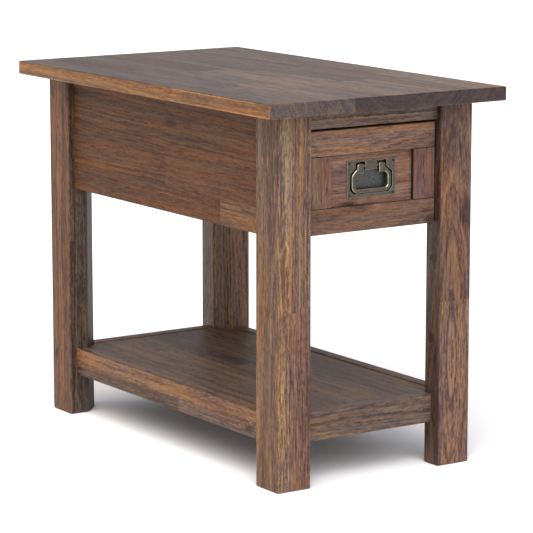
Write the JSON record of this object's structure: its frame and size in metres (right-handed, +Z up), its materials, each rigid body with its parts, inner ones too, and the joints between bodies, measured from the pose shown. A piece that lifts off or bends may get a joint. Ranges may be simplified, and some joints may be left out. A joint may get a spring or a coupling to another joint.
{
  "type": "side table",
  "caption": "Rectangular hardwood side table with square legs, a front drawer with a flush drop pull, and a low slatless shelf.",
  "frame": {"origin": "on the floor, under the centre of the tabletop", "axes": "+X to the right seen from the drawer, -Y out of the drawer's front, +Z up"},
  "size_m": [0.413, 0.712, 0.56],
  "materials": {
    "top_wood": "satin stained hardwood",
    "leg_wood": "satin stained hardwood",
    "apron_wood": "satin stained hardwood",
    "shelf_wood": "satin stained hardwood",
    "front_wood": "satin stained hardwood",
    "plain_wood": "sawn, unfinished",
    "dowel_wood": "turned, unfinished",
    "box_wood": "clear satin",
    "plywood": "clear satin",
    "zinc_steel": "zinc plated",
    "wood_screw_steel": "yellow zinc plated",
    "slide_steel": "zinc plated",
    "ball_steel": "polished",
    "bumper_rubber": "matt",
    "nail_steel": "blackened",
    "bronze": "antiqued dark bronze"
  },
  "bodies": {
    "table": {"tabletop": "top_wood", "leg_front_left": "leg_wood", "leg_front_right": "leg_wood", "leg_back_left": "leg_wood", "leg_back_right": "leg_wood", "apron_left": "apron_wood", "apron_right": "apron_wood", "apron_back": "apron_wood", "front_top_rail": "apron_wood", "corner_block_front_left": "plain_wood", "corner_block_front_right": "plain_wood", "corner_block_back_left": "plain_wood", "corner_block_back_right": "plain_wood", "shelf_rail_front": "shelf_wood", "shelf_rail_back": "shelf_wood", "shelf_rail_left": "shelf_wood", "shelf_rail_right": "shelf_wood", "shelf_panel": "shelf_wood", "shelf_cleat_left": "plain_wood", "shelf_cleat_right": "plain_wood", "shelf_block_front_left": "plain_wood", "shelf_block_front_right": "plain_wood", "shelf_block_back_left": "plain_wood", "shelf_block_back_right": "plain_wood", "rail_dowels": "dowel_wood", "hanger_bolts": "zinc_steel", "bolt_washers": "zinc_steel", "bolt_nuts": "zinc_steel", "tabletop_screws": "wood_screw_steel", "block_screws": "wood_screw_steel", "shelf_screws": "wood_screw_steel", "slide_batten_left": "plain_wood", "slide_batten_right": "plain_wood", "batten_screws": "wood_screw_steel", "slide_outer_left": "slide_steel", "slide_outer_right": "slide_steel", "slide_outer_screws": "zinc_steel", "slide_bumpers": "bumper_rubber"},
    "cage_left": {"ball_cage_left": "slide_steel", "cage_balls_left": "ball_steel"},
    "cage_right": {"ball_cage_right": "slide_steel", "cage_balls_right": "ball_steel"},
    "drawer": {"slide_inner_left": "slide_steel", "slide_inner_right": "slide_steel", "slide_inner_screws": "zinc_steel", "drawer_top_rail": "front_wood", "drawer_bottom_rail": "front_wood", "drawer_stile_left": "front_wood", "drawer_stile_right": "front_wood", "drawer_panel": "front_wood", "box_front": "box_wood", "box_back": "box_wood", "box_side_left": "box_wood", "box_side_right": "box_wood", "box_bottom": "plywood", "front_screws": "wood_screw_steel", "pull_plate": "bronze", "pull_nails": "nail_steel"},
    "bail": {"pull_bail": "bronze"}
  },
  "joints": [
    {"name": "drawer_slide", "type": "slide", "parent": "table", "child": "drawer", "axis": [0, -1, 0], "range_m": [0, 0.3]},
    {"name": "cage_left_slide", "type": "slide", "parent": "table", "child": "cage_left", "axis": [0, -1, 0], "range_m": [0, 0.15]},
    {"name": "cage_right_slide", "type": "slide", "parent": "table", "child": "cage_right", "axis": [0, -1, 0], "range_m": [0, 0.15]},
    {"name": "bail_swing", "type": "hinge", "parent": "drawer", "child": "bail", "pos_m": [0, -0.3052, 0.4548], "axis": [-1, 0, 0], "range_deg": [0, 90]}
  ],
  "couplings": [
    {"joint": "cage_left_slide", "follows": "drawer_slide", "ratio": 0.5},
    {"joint": "cage_right_slide", "follows": "drawer_slide", "ratio": 0.5}
  ]
}
